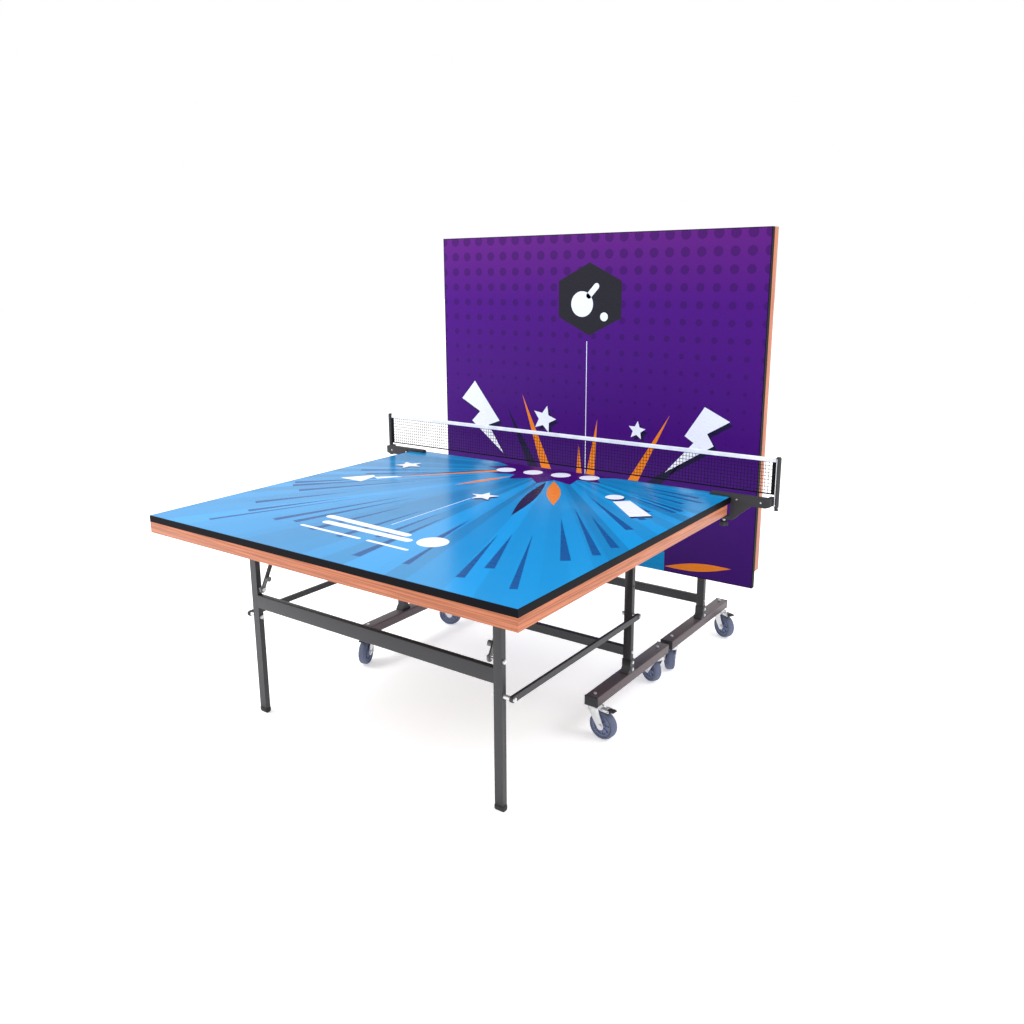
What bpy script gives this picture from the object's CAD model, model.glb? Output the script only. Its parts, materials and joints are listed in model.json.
import json
import math

import bmesh
import bpy
from bpy.props import FloatProperty, FloatVectorProperty, IntProperty, PointerProperty
from mathutils import Matrix, Vector


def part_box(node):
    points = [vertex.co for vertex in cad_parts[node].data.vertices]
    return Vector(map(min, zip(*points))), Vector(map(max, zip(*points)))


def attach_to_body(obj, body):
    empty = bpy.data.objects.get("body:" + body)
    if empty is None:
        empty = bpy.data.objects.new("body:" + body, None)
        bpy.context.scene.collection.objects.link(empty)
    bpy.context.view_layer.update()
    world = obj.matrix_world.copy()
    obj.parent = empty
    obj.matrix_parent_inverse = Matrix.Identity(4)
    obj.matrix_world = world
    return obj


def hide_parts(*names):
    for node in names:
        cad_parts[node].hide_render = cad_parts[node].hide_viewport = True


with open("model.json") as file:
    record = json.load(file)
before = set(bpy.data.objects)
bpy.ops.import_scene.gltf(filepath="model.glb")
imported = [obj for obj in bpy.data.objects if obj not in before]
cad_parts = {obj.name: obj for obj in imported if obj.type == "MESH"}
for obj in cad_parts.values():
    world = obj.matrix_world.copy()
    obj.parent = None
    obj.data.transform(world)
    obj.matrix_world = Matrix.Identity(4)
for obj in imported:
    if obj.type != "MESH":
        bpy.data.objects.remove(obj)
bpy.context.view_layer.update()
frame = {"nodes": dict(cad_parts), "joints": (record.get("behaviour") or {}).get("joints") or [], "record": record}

bl_info = {
    "name": "Ping Pong Table Looks",
    "version": (1, 0, 0),
    "blender": (4, 5, 0),
    "location": "View3D > Sidebar > Table",
    "description": "Gives the folding ping pong table its finishes, print, net and fine pieces",
    "category": "Object",
}

# Places that the pieces share, all taken from the frame
HALVES = ("near", "far")
BODY_OF = {
    node: body
    for body, nodes in frame["record"]["behaviour"]["bodies"].items()
    for node in nodes
}
JOINTS = {joint["name"]: joint for joint in frame["joints"]}
CASTERS = [
    name.removesuffix("_roll")
    for name, joint in JOINTS.items()
    if name.endswith("_roll") and joint.get("continuous")
]
NET_LOW, NET_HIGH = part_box("net")
TAPE_LOW, TAPE_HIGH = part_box("net_tape")
NET_Y = (NET_LOW.y + NET_HIGH.y) / 2
PLAY_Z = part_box("near_board")[1].z
NEAR_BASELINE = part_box("near_edge_band")[0].y
EDGE_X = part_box("near_edge_band")[1].x
HALF_LENGTH = NET_Y - NEAR_BASELINE
FAR_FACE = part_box("far_board")[0].y
FAR_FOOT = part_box("far_edge_band")[0].z

# Tension cord's loose end: the same route as in the part's source, from the cleat down
TAIL_ROUTE = [
    (0, 0, 0), (0, -1, -4), (1, -2, -9), (2, -2, -15), (2, -1, -21), (1, -1, -27), (1, -1, -33),
]
MM = 0.001

# Layers of ink, in millimetres: each is this much higher, and all start this deep in the board
INK_STEP = 0.06
INK_DEPTH = 0.2

# Off-centre view of the fitted camera, as shares of the picture's width
CAMERA_SHIFT = (0.0174, -0.0278)


# ---------------------------------------------------------------- settings


def colour_setting(name, description, default):
    """Colour with parts from 0 to 1."""
    return FloatVectorProperty(
        name=name, description=description, subtype="COLOR", default=default, min=0, max=1,
    )


def length_setting(name, description, default, low, high):
    """Length between two others, all in millimetres."""
    return FloatProperty(
        name=name, description=description, unit="LENGTH",
        default=default * MM, min=low * MM, max=high * MM,
    )


class TableColours(bpy.types.PropertyGroup):
    """Colours of the table's finishes."""

    blue: colour_setting("Blue", "Print on the near half", (0.0005, 0.225, 0.52))
    deep_blue: colour_setting(
        "Deep Blue", "Rays in the near half's print", (0.0005, 0.075, 0.250),
    )
    violet: colour_setting("Violet", "Print on the far half", (0.058, 0.002, 0.175))
    orange: colour_setting("Orange", "Orange shapes in the print", (0.70, 0.19, 0.012))
    print_white: colour_setting(
        "Print White", "White shapes and lines in the print", (0.74, 0.77, 0.88),
    )
    navy: colour_setting("Navy", "Dark shapes in the print", (0.010, 0.007, 0.040))
    wood: colour_setting("Wood", "Light grain of the aprons", (0.52, 0.175, 0.085))
    wood_grain: colour_setting("Wood Grain", "Dark grain of the aprons", (0.34, 0.098, 0.042))
    steel: colour_setting(
        "Powder Coat", "Black powder coat on the legs and the trolleys", (0.0035, 0.003, 0.0055),
    )
    beam: colour_setting("Foot Beam", "Brownish black of the foot beams", (0.010, 0.006, 0.009))
    tyre: colour_setting("Tyre", "Blue grey rubber of the wheels", (0.115, 0.135, 0.215))


class TableSizes(bpy.types.PropertyGroup):
    """Sizes of the fine pieces."""

    mesh_pitch: length_setting(
        "Mesh Pitch", "Distance between the strings of the net", 12.5, 6, 20,
    )
    string_width: length_setting(
        "String", "Diameter of the net's strings", 1.8, 0.5, 2,
    )
    stitch: length_setting(
        "Stitch", "Distance between the stitches of the tape", 5, 3, 9,
    )
    edge_round: length_setting(
        "Edge Rounding", "Rounding of the edges of moulded and cut pieces", 0.8, 0.2, 2,
    )
    tube_round: length_setting(
        "Tube Rounding", "Outer corner radius of the steel tubes", 3, 1, 5,
    )
    line_width: length_setting(
        "Centre Line", "Width of the white centre line", 3, 2, 20,
    )
    ray_count: IntProperty(
        name="Rays", description="Number of dark rays in the near half's print",
        default=30, min=5, max=90,
    )
    ray_seed: IntProperty(
        name="Ray Seed", description="Seed for the lengths of the rays", default=7, min=0,
    )


class StageLook(bpy.types.PropertyGroup):
    """Camera and light of the studio."""

    azimuth: FloatProperty(
        name="Azimuth", description="Turn of the camera round the table",
        subtype="ANGLE", default=math.radians(36.456),
    )
    elevation: FloatProperty(
        name="Elevation", description="Angle of the camera above the horizon",
        subtype="ANGLE", default=math.radians(13.345),
    )
    roll: FloatProperty(
        name="Roll", description="Tilt of the camera about its own axis",
        subtype="ANGLE", default=math.radians(-0.604),
    )
    camera_place: FloatVectorProperty(
        name="Camera Place", description="Where the camera stands",
        subtype="TRANSLATION", default=(1.9189, -2.5993, 1.5523),
    )
    lens: FloatProperty(
        name="Lens", description="Focal length in millimetres", default=31.336, min=10, max=200,
    )
    sky: FloatProperty(
        name="Sky", description="Strength of the white surroundings", default=1.0, min=0, max=5,
    )
    key: FloatProperty(
        name="Key Light", description="Power of the main soft light",
        unit="POWER", default=120, min=0, max=2000,
    )


def colours():
    """Colour settings of the scene."""
    return bpy.context.scene.table_colours


def sizes():
    """Size settings of the scene."""
    return bpy.context.scene.table_sizes


# ---------------------------------------------------------------- node helpers


def add_node(tree, kind, inputs=(), **settings):
    """Adds a node, sets it, and gives its inputs numbers or joins them to sockets."""
    made = tree.nodes.new(kind)
    for key, value in settings.items():
        setattr(made, key, value)
    for key, value in dict(inputs).items():
        socket = made.inputs[key]
        if isinstance(value, bpy.types.NodeSocket):
            tree.links.new(value, socket)
        else:
            socket.default_value = value
    return made


def calc(tree, operation, *values):
    """Math node on numbers or sockets."""
    return add_node(tree, "ShaderNodeMath", enumerate(values), operation=operation).outputs[0]


def noise(tree, vector, scale, detail=4.0, roughness=0.55):
    """Noise from 0 to 1 around a half."""
    inputs = {"Vector": vector, "Scale": scale, "Detail": detail, "Roughness": roughness}
    return add_node(tree, "ShaderNodeTexNoise", inputs).outputs["Fac"]


def stretched(tree, vector, scale):
    """Coordinates scaled by a different number along each axis."""
    return add_node(tree, "ShaderNodeMapping", {"Vector": vector, "Scale": scale}).outputs[0]


def ramp(tree, factor, *stops):
    """Colour ramp through (position, colour) stops."""
    made = add_node(tree, "ShaderNodeValToRGB", {"Fac": factor})
    elements = made.color_ramp.elements
    while len(elements) < len(stops):
        elements.new(1.0)
    for element, (position, colour) in zip(elements, stops):
        element.position = position
        element.color = (*colour, 1.0)
    return made.outputs[0]


def spread(tree, factor, low, high, to_low, to_high):
    """Maps a number from one range to another, clamped."""
    inputs = {
        "Value": factor, "From Min": low, "From Max": high, "To Min": to_low, "To Max": to_high,
    }
    return add_node(tree, "ShaderNodeMapRange", inputs).outputs[0]


def mixed(tree, factor, first, second):
    """Colour between two colours or sockets."""
    first, second = (
        c if isinstance(c, bpy.types.NodeSocket) else (*c, 1.0) for c in (first, second)
    )
    made = add_node(tree, "ShaderNodeMix", {"Factor": factor}, data_type="RGBA")
    for index, value in ((6, first), (7, second)):
        if isinstance(value, bpy.types.NodeSocket):
            tree.links.new(value, made.inputs[index])
        else:
            made.inputs[index].default_value = value
    return made.outputs[2]


def split(tree, place):
    """Coordinates as three numbers, by name."""
    return add_node(tree, "ShaderNodeSeparateXYZ", {"Vector": place}).outputs


def diagonal(tree, across, along):
    """Distance over two numbers at right angles."""
    squares = [calc(tree, "POWER", part, 2.0) for part in (across, along)]
    return calc(tree, "SQRT", calc(tree, "ADD", *squares))


def shade(colour, amount):
    """A colour made lighter or darker."""
    return tuple(min(1.0, part * amount) for part in colour)


def new_finish(name, **constants):
    """Starts a material: its tree, its shader and its object coordinates."""
    material = bpy.data.materials.new(name)
    material.use_nodes = True
    tree = material.node_tree
    tree.nodes.clear()
    shader = add_node(tree, "ShaderNodeBsdfPrincipled")
    for key, value in constants.items():
        shader.inputs[key.replace("_", " ").title().replace("Ior", "IOR")].default_value = value
    add_node(tree, "ShaderNodeOutputMaterial", {"Surface": shader.outputs[0]})
    place = add_node(tree, "ShaderNodeTexCoord").outputs["Object"]
    return material, tree, shader, place


def set_surface(
    tree, shader, colour=None, roughness=None, height=None, depth=0.1 * MM, strength=0.5,
):
    """Joins colour, roughness and bump height to the shader."""
    if colour is not None:
        tree.links.new(colour, shader.inputs["Base Color"])
    if roughness is not None:
        tree.links.new(roughness, shader.inputs["Roughness"])
    if height is not None:
        inputs = {"Height": height, "Strength": strength, "Distance": depth}
        bump = add_node(tree, "ShaderNodeBump", inputs)
        tree.links.new(bump.outputs[0], shader.inputs["Normal"])


# ---------------------------------------------------------------- materials


def scuffed(tree, place, low, high):
    """Roughness with faint wipe marks and handling spots."""
    wipes = noise(tree, stretched(tree, place, (2.0, 9.0, 9.0)), 3.0, 6.0, 0.6)
    return spread(tree, wipes, 0.35, 0.7, low, high)


def underside(tree, place):
    """Brown hardboard colour of a board's underside."""
    fibres = noise(tree, stretched(tree, place, (1.0, 1.0, 6.0)), 160.0, 3.0)
    return ramp(tree, fibres, (0.3, (0.10, 0.066, 0.045)), (0.7, (0.17, 0.115, 0.08)))


def near_print_finish():
    """Blue playing surface with streaks of light and shade that run out from the net's middle."""
    c = colours()
    material, tree, shader, place = new_finish(
        "near_print", specular_ior_level=0.15, coat_weight=0.12, coat_roughness=0.1,
    )
    parts = split(tree, place)
    from_net = calc(tree, "SUBTRACT", NET_Y, parts["Y"])
    angle = calc(tree, "ARCTAN2", parts["X"], from_net)
    cells = {"W": angle, "Scale": 17.0, "Randomness": 1.0}
    sectors = add_node(
        tree, "ShaderNodeTexVoronoi", cells, voronoi_dimensions="1D",
    ).outputs["Color"]
    streaks = add_node(tree, "ShaderNodeSeparateColor", {"Color": sectors}).outputs[0]
    reach = diagonal(tree, parts["X"], from_net)
    glow = spread(tree, reach, 0.15, 1.3, 0.0, 1.0)
    blue = ramp(
        tree, streaks, (0.1, shade(c.blue, 0.72)), (0.3, shade(c.blue, 0.88)),
        (0.6, c.blue), (0.9, shade(c.blue, 1.22)),
    )
    washed = mixed(tree, calc(tree, "MULTIPLY", glow, 0.35), blue, shade(c.blue, 1.25))
    on_top = calc(tree, "GREATER_THAN", parts["Z"], PLAY_Z - 1 * MM)
    colour = mixed(tree, on_top, underside(tree, place), washed)
    grain = noise(tree, place, 900.0, 2.0)
    set_surface(tree, shader, colour, scuffed(tree, place, 0.22, 0.27), grain, 0.02 * MM, 0.15)
    return material


def far_print_finish():
    """Violet playing surface with rows of faint dots that shrink towards the net."""
    c = colours()
    material, tree, shader, place = new_finish("far_print", specular_ior_level=0.12)
    parts = split(tree, place)
    height = calc(tree, "SUBTRACT", parts["Z"], FAR_FOOT)
    base = ramp(
        tree, spread(tree, height, 0.0, HALF_LENGTH, 0.0, 1.0),
        (0.0, (0.034, 0.002, 0.120)), (0.42, (0.046, 0.002, 0.155)),
        (0.8, c.violet), (1.0, (0.095, 0.008, 0.175)),
    )
    pitch = 66 * MM

    def from_cell_middle(value):
        part = calc(tree, "FRACT", calc(tree, "DIVIDE", value, pitch))
        return calc(tree, "SUBTRACT", part, 0.5)

    reach = diagonal(tree, from_cell_middle(parts["X"]), from_cell_middle(height))
    size = spread(tree, height, 0.45, HALF_LENGTH, 0.02, 0.30)
    dot = spread(tree, calc(tree, "SUBTRACT", size, reach), -0.02, 0.02, 0.0, 1.0)
    off_rim = calc(tree, "ABSOLUTE", calc(tree, "SUBTRACT", reach, size))
    ring = spread(tree, off_rim, 0.0, 0.06, 0.3, 0.0)
    dotted = mixed(tree, calc(tree, "MULTIPLY", calc(tree, "ADD", dot, ring), 0.55),
                   base, shade(c.violet, 0.42))
    in_front = calc(tree, "LESS_THAN", parts["Y"], FAR_FACE + 1 * MM)
    colour = mixed(tree, in_front, underside(tree, place), dotted)
    grain = noise(tree, place, 900.0, 2.0)
    set_surface(tree, shader, colour, scuffed(tree, place, 0.34, 0.40), grain, 0.02 * MM, 0.15)
    return material


def ink_finish(name, colour):
    """Printed ink: the colour with a fine mottle."""
    material, tree, shader, place = new_finish(name, specular_ior_level=0.12)
    mottle = noise(tree, place, 240.0, 3.0)
    ink = ramp(tree, mottle, (0.3, shade(colour, 0.93)), (0.7, shade(colour, 1.05)))
    set_surface(tree, shader, ink, scuffed(tree, place, 0.26, 0.32), noise(tree, place, 900.0, 2.0),
                0.02 * MM, 0.15)
    return material


def band_finish():
    """Black edge band: extruded plastic with fine lines along it and a few pale rubs."""
    material, tree, shader, place = new_finish("edge_band", specular_ior_level=0.06)
    rubs = noise(tree, stretched(tree, place, (3.0, 3.0, 60.0)), 9.0, 6.0, 0.7)
    colour = ramp(tree, rubs, (0.5, (0.003, 0.003, 0.005)), (0.72, (0.006, 0.006, 0.009)),
                  (0.8, (0.016, 0.016, 0.020)))
    lines = noise(tree, stretched(tree, place, (1.0, 1.0, 900.0)), 2.0, 2.0)
    gloss = spread(tree, rubs, 0.3, 0.8, 0.42, 0.6)
    set_surface(tree, shader, colour, gloss, lines, 0.05 * MM, 0.3)
    return material


def wood_finish(name, run, across_low, across_high):
    """Varnished hardwood: grain along its run, a glue line between two lamellas and end pores."""
    c = colours()
    material, tree, shader, place = new_finish(name, specular_ior_level=0.35)
    scale = [110.0, 110.0, 110.0]
    scale[run] = 2.4
    along = stretched(tree, place, scale)
    warp = noise(tree, along, 1.6, 5.0, 0.6)
    bands = add_node(
        tree, "ShaderNodeTexWave",
        {"Vector": along, "Scale": 0.5, "Distortion": 9.0, "Detail": 5.0, "Detail Scale": 1.6},
        bands_direction="DIAGONAL",
    ).outputs["Fac"]
    scale[run] = 14.0
    pores = noise(tree, stretched(tree, place, [part * 4 for part in scale]), 1.4, 3.0, 0.7)
    tone = calc(
        tree, "ADD", calc(tree, "MULTIPLY", bands, 0.35), calc(tree, "MULTIPLY", warp, 0.65),
    )
    grain = ramp(
        tree, tone, (0.22, c.wood_grain), (0.48, shade(c.wood, 0.82)), (0.75, shade(c.wood, 1.12)),
    )
    flecks = spread(tree, pores, 0.60, 0.78, 0.0, 0.65)
    flecked = mixed(tree, flecks, grain, shade(c.wood_grain, 0.45))
    parts = split(tree, place)
    level = parts["Y" if run == 2 else "Z"]
    middle = (across_low + across_high) / 2
    seam = spread(tree, calc(tree, "ABSOLUTE", calc(tree, "SUBTRACT", level, middle)),
                  0.2 * MM, 0.7 * MM, 0.7, 0.0)
    colour = mixed(tree, seam, flecked, shade(c.wood_grain, 0.5))
    height = calc(
        tree, "SUBTRACT", calc(tree, "MULTIPLY", tone, 0.4), calc(tree, "MULTIPLY", pores, 0.6),
    )
    gloss = spread(tree, pores, 0.3, 0.7, 0.34, 0.5)
    set_surface(tree, shader, colour, gloss, height, 0.12 * MM, 0.5)
    return material


def coated_steel_finish(name, colour, roughness=0.36):
    """Powder coat: orange-peel skin, slightly uneven gloss and a few worn pale specks."""
    material, tree, shader, place = new_finish(name, specular_ior_level=0.07)
    cloud = noise(tree, place, 14.0, 4.0)
    specks = noise(tree, place, 420.0, 2.0, 0.8)
    skin = ramp(tree, cloud, (0.3, shade(colour, 0.8)), (0.7, shade(colour, 1.3)))
    worn = mixed(tree, spread(tree, specks, 0.74, 0.80, 0.0, 0.5), skin, (0.045, 0.042, 0.048))
    peel = noise(tree, place, 700.0, 2.0, 0.4)
    gloss = spread(tree, cloud, 0.3, 0.7, roughness - 0.05, roughness + 0.09)
    set_surface(tree, shader, worn, gloss, peel, 0.06 * MM, 0.4)
    return material


def zinc_finish():
    """Zinc plate: bright metal with cloudy spangle and fine scratches."""
    material, tree, shader, place = new_finish("zinc", metallic=1.0)
    cells = {"Vector": place, "Scale": 260.0}
    spangle = add_node(tree, "ShaderNodeTexVoronoi", cells).outputs["Color"]
    grey = add_node(tree, "ShaderNodeSeparateColor", {"Color": spangle}).outputs[0]
    colour = ramp(tree, grey, (0.0, (0.24, 0.25, 0.28)), (1.0, (0.42, 0.43, 0.47)))
    scratches = noise(tree, stretched(tree, place, (900.0, 90.0, 900.0)), 1.0, 3.0)
    set_surface(tree, shader, colour, spread(tree, scratches, 0.3, 0.7, 0.24, 0.42), scratches,
                0.03 * MM, 0.3)
    return material


def plastic_finish(name="black_plastic", colour=(0.004, 0.0038, 0.006)):
    """Moulded black plastic with a spark-eroded texture."""
    material, tree, shader, place = new_finish(name, specular_ior_level=0.08)
    texture = noise(tree, place, 1100.0, 2.0, 0.5)
    shine = noise(tree, place, 30.0, 4.0)
    skin = ramp(tree, shine, (0.3, shade(colour, 0.85)), (0.7, shade(colour, 1.35)))
    gloss = spread(tree, shine, 0.3, 0.7, 0.36, 0.5)
    set_surface(tree, shader, skin, gloss, texture, 0.08 * MM, 0.5)
    return material


def rubber_finish(name, colour, dust=(0.23, 0.24, 0.27)):
    """Matt rubber with a little dust in its pores."""
    material, tree, shader, place = new_finish(name, specular_ior_level=0.3)
    dusty = noise(tree, place, 60.0, 6.0, 0.7)
    skin = mixed(tree, spread(tree, dusty, 0.5, 0.78, 0.0, 0.35), colour, dust)
    gloss = spread(tree, dusty, 0.3, 0.7, 0.5, 0.7)
    set_surface(tree, shader, skin, gloss, noise(tree, place, 800.0, 3.0), 0.08 * MM, 0.5)
    return material


def woven_finish(name, colour, pitch=0.7 * MM, roughness=0.85):
    """Plain weave along X and Z."""
    material, tree, shader, place = new_finish(name, specular_ior_level=0.15)
    parts = split(tree, place)
    turn = 2 * math.pi / pitch
    warp = calc(tree, "SINE", calc(tree, "MULTIPLY", parts["X"], turn))
    weft = calc(tree, "SINE", calc(tree, "MULTIPLY", parts["Z"], turn))
    weave = calc(tree, "MULTIPLY", warp, weft)
    soil = noise(tree, place, 25.0, 5.0)
    tone = calc(tree, "ADD", calc(tree, "MULTIPLY", weave, 0.18), soil)
    cloth = ramp(tree, tone, (0.3, shade(colour, 0.84)), (0.7, shade(colour, 1.05)))
    gloss = spread(tree, soil, 0.3, 0.7, roughness - 0.08, roughness + 0.05)
    set_surface(tree, shader, cloth, gloss, weave, 0.15 * MM, 0.6)
    return material


def floor_finish():
    """Pale matt studio floor."""
    material, tree, shader, place = new_finish(
        "studio_floor", specular_ior_level=0.0,
        emission_color=(1, 1, 1, 1), emission_strength=0.42,
    )
    haze = noise(tree, place, 1.2, 3.0)
    colour = ramp(tree, haze, (0.3, (0.93, 0.93, 0.94)), (0.7, (0.95, 0.95, 0.955)))
    set_surface(tree, shader, colour, spread(tree, haze, 0.3, 0.7, 0.8, 0.9))
    return material


def make_finishes():
    """Makes every material of the table, and returns them by name."""
    c = colours()
    near_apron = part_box("near_aprons")
    far_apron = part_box("far_aprons")
    return {
        "near_print": near_print_finish(),
        "far_print": far_print_finish(),
        "ink_white": ink_finish("ink_white", c.print_white),
        "ink_orange": ink_finish("ink_orange", c.orange),
        "ink_navy": ink_finish("ink_navy", c.navy),
        "ink_deep_blue": ink_finish("ink_deep_blue", c.deep_blue),
        "ink_blue": ink_finish("ink_blue", c.blue),
        "ink_violet": ink_finish("ink_violet", shade(c.violet, 0.75)),
        "ink_badge": ink_finish("ink_badge", (0.016, 0.015, 0.022)),
        "edge_band": band_finish(),
        "near_side_wood": wood_finish("near_side_wood", 1, near_apron[0].z, near_apron[1].z),
        "near_end_wood": wood_finish("near_end_wood", 0, near_apron[0].z, near_apron[1].z),
        "far_side_wood": wood_finish("far_side_wood", 2, far_apron[0].y, far_apron[1].y),
        "black_steel": coated_steel_finish("black_steel", c.steel),
        "beam_steel": coated_steel_finish("beam_steel", c.beam, 0.42),
        "stay_steel": coated_steel_finish("stay_steel", (0.30, 0.31, 0.36), 0.34),
        "zinc": zinc_finish(),
        "black_plastic": plastic_finish(),
        "foot_rubber": rubber_finish("foot_rubber", (0.005, 0.005, 0.006), (0.03, 0.03, 0.03)),
        "tyre": rubber_finish("tyre", c.tyre),
        "hub": rubber_finish("hub", shade(c.tyre, 1.7)),
        "string": woven_finish("string", (0.006, 0.005, 0.012), 0.5 * MM),
        "hem": woven_finish("hem", (0.004, 0.004, 0.006)),
        "tape": woven_finish("tape", (0.80, 0.81, 0.88)),
        "cord": woven_finish("cord", (0.78, 0.79, 0.84), 0.9 * MM, 0.7),
    }


def finish(name):
    """A material of the table, by name."""
    return bpy.data.materials[name]


# ---------------------------------------------------------------- mesh helpers


def add_object(name, shape, *materials, smooth=35):
    """Turns a bmesh into an object with smooth shading up to an angle in degrees."""
    mesh = bpy.data.meshes.new(name)
    shape.to_mesh(mesh)
    shape.free()
    for material in materials:
        mesh.materials.append(finish(material))
    mesh.shade_smooth()
    mesh.set_sharp_from_angle(angle=math.radians(smooth))
    made = bpy.data.objects.new(name, mesh)
    bpy.context.scene.collection.objects.link(made)
    return made


def attach(piece, body, nodes=()):
    """Lets a piece ride on a body, stand for CAD nodes and take its finish from a slot."""
    if nodes:
        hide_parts(*nodes)
    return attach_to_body(piece, body)


def merged_shape(node):
    """Copy of a CAD node's mesh, merged, with its flat faces in one piece each."""
    shape = bmesh.new()
    shape.from_mesh(frame["nodes"][node].data)
    bmesh.ops.remove_doubles(shape, verts=shape.verts, dist=0.01 * MM)
    bmesh.ops.dissolve_limit(
        shape, angle_limit=math.radians(1), verts=shape.verts, edges=shape.edges,
    )
    return shape


def round_edges(shape, edges, radius, segments=2):
    """Rounds some edges of a shape."""
    bmesh.ops.bevel(
        shape, geom=list(edges), offset=radius, offset_type="OFFSET", segments=segments,
        profile=0.5, affect="EDGES", clamp_overlap=True,
    )


def is_corner(edge, angle=35):
    """True for an edge where two faces meet at more than an angle in degrees."""
    return len(edge.link_faces) == 2 and edge.calc_face_angle(0.0) > math.radians(angle)


def softened(node, material, corner=0.0, along=None):
    """Copy of a CAD node with rounded edges, which stands for it.

    corner is the radius of a tube's long outer corners, which run along one axis, 0, 1 or 2."""
    shape = merged_shape(node)
    if corner:
        tube = [
            edge for edge in shape.edges
            if is_corner(edge) and edge.is_convex
            and 30 * MM < 0.95 * edge.calc_length()
            < abs((edge.verts[0].co - edge.verts[1].co)[along])
        ]
        round_edges(shape, tube, corner, 3)
    small = sizes().edge_round
    sharp = [edge for edge in shape.edges if is_corner(edge, 60) and edge.calc_length() > 4 * small]
    round_edges(shape, sharp, small * 0.6)
    piece = add_object(f"{node}_shaped", shape, material)
    return attach(piece, BODY_OF[node], [node])


def islands(node):
    """Lowest and highest corner of each separate solid of a CAD node."""
    shape = merged_shape(node)
    left, boxes = set(shape.verts), []
    while left:
        group, edge_of_group = set(), [left.pop()]
        while edge_of_group:
            vertex = edge_of_group.pop()
            group.add(vertex)
            for edge in vertex.link_edges:
                other = edge.other_vert(vertex)
                if other in left:
                    left.remove(other)
                    edge_of_group.append(other)
        places = [vertex.co for vertex in group]
        boxes.append((
            Vector([min(place[k] for place in places) for k in range(3)]),
            Vector([max(place[k] for place in places) for k in range(3)]),
        ))
    shape.free()
    return boxes


def lathe(shape, profile, sides, place):
    """Closed solid of revolution about the local Z axis, from a loop of (radius, height) points."""
    rings = []
    for k in range(sides):
        turn = 2 * math.pi * k / sides
        rings.append([
            shape.verts.new(place @ Vector((r * math.cos(turn), r * math.sin(turn), z)))
            for r, z in profile
        ])
    count = len(profile)
    for k in range(sides):
        here, there = rings[k], rings[(k + 1) % sides]
        for i in range(count):
            j = (i + 1) % count
            shape.faces.new((here[i], there[i], there[j], here[j]))


def tidy(shape):
    """Merges doubles and turns every face outwards."""
    bmesh.ops.remove_doubles(shape, verts=shape.verts, dist=0.001 * MM)
    bmesh.ops.dissolve_degenerate(shape, edges=shape.edges, dist=0.001 * MM)
    bmesh.ops.recalc_face_normals(shape, faces=shape.faces)


def tube_along(shape, route, radius, sides=8):
    """Round tube along a route, closed at both ends by shallow domes."""
    points = [Vector(point) for point in route]
    rings, side = [], None
    for i, point in enumerate(points):
        ahead = (points[min(i + 1, len(points) - 1)] - points[max(i - 1, 0)]).normalized()
        side = (side or ahead.orthogonal())
        side = (side - ahead * side.dot(ahead)).normalized()
        other = ahead.cross(side)
        rings.append([
            shape.verts.new(point + radius * (math.cos(t) * side + math.sin(t) * other))
            for t in (2 * math.pi * k / sides for k in range(sides))
        ])
    for here, there in zip(rings, rings[1:]):
        for k in range(sides):
            j = (k + 1) % sides
            shape.faces.new((here[k], here[j], there[j], there[k]))
    shape.faces.new(rings[0])
    shape.faces.new(rings[-1])
    tidy(shape)


# ---------------------------------------------------------------- geometry node helpers


def start_tree(name, inputs):
    """New geometry tree with named inputs: the tree and the sockets of its group input."""
    tree = bpy.data.node_groups.new(name, "GeometryNodeTree")
    tree.interface.new_socket("Geometry", in_out="INPUT", socket_type="NodeSocketGeometry")
    for label, kind in inputs.items():
        tree.interface.new_socket(label, in_out="INPUT", socket_type=f"NodeSocket{kind}")
    tree.interface.new_socket("Material", in_out="INPUT", socket_type="NodeSocketMaterial")
    tree.interface.new_socket("Geometry", in_out="OUTPUT", socket_type="NodeSocketGeometry")
    return tree, add_node(tree, "NodeGroupInput").outputs


def end_tree(tree, sockets, geometry):
    """Closes a tree with Realize Instances and Set Material."""
    real = add_node(tree, "GeometryNodeRealizeInstances", {"Geometry": geometry}).outputs[0]
    inputs = {"Geometry": real, "Material": sockets["Material"]}
    coated = add_node(tree, "GeometryNodeSetMaterial", inputs).outputs[0]
    add_node(tree, "NodeGroupOutput", {"Geometry": coated})
    return tree


def grown(tree, name, points, values, smooth=35, turns=None):
    """Runs a tree on loose points and returns the result as a plain mesh object."""
    seeds = bpy.data.meshes.new(f"{name}_points")
    seeds.from_pydata([tuple(point) for point in points], [], [])
    if turns:
        attribute = seeds.attributes.new("turn", "FLOAT_VECTOR", "POINT")
        attribute.data.foreach_set("vector", [part for turn in turns for part in turn])
    carrier = bpy.data.objects.new(f"{name}_carrier", seeds)
    bpy.context.scene.collection.objects.link(carrier)
    modifier = carrier.modifiers.new(tree.name, "NODES")
    modifier.node_group = tree
    for item in tree.interface.items_tree:
        if item.in_out == "INPUT" and item.name in values:
            modifier[item.identifier] = values[item.name]
    carrier.update_tag()
    mesh = bpy.data.meshes.new_from_object(
        carrier.evaluated_get(bpy.context.evaluated_depsgraph_get())
    )
    carrier.modifiers.remove(modifier)
    bpy.data.objects.remove(carrier)
    bpy.data.meshes.remove(seeds)
    mesh.name = name
    mesh.shade_smooth()
    mesh.set_sharp_from_angle(angle=math.radians(smooth))
    piece = bpy.data.objects.new(name, mesh)
    bpy.context.scene.collection.objects.link(piece)
    return piece


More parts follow.
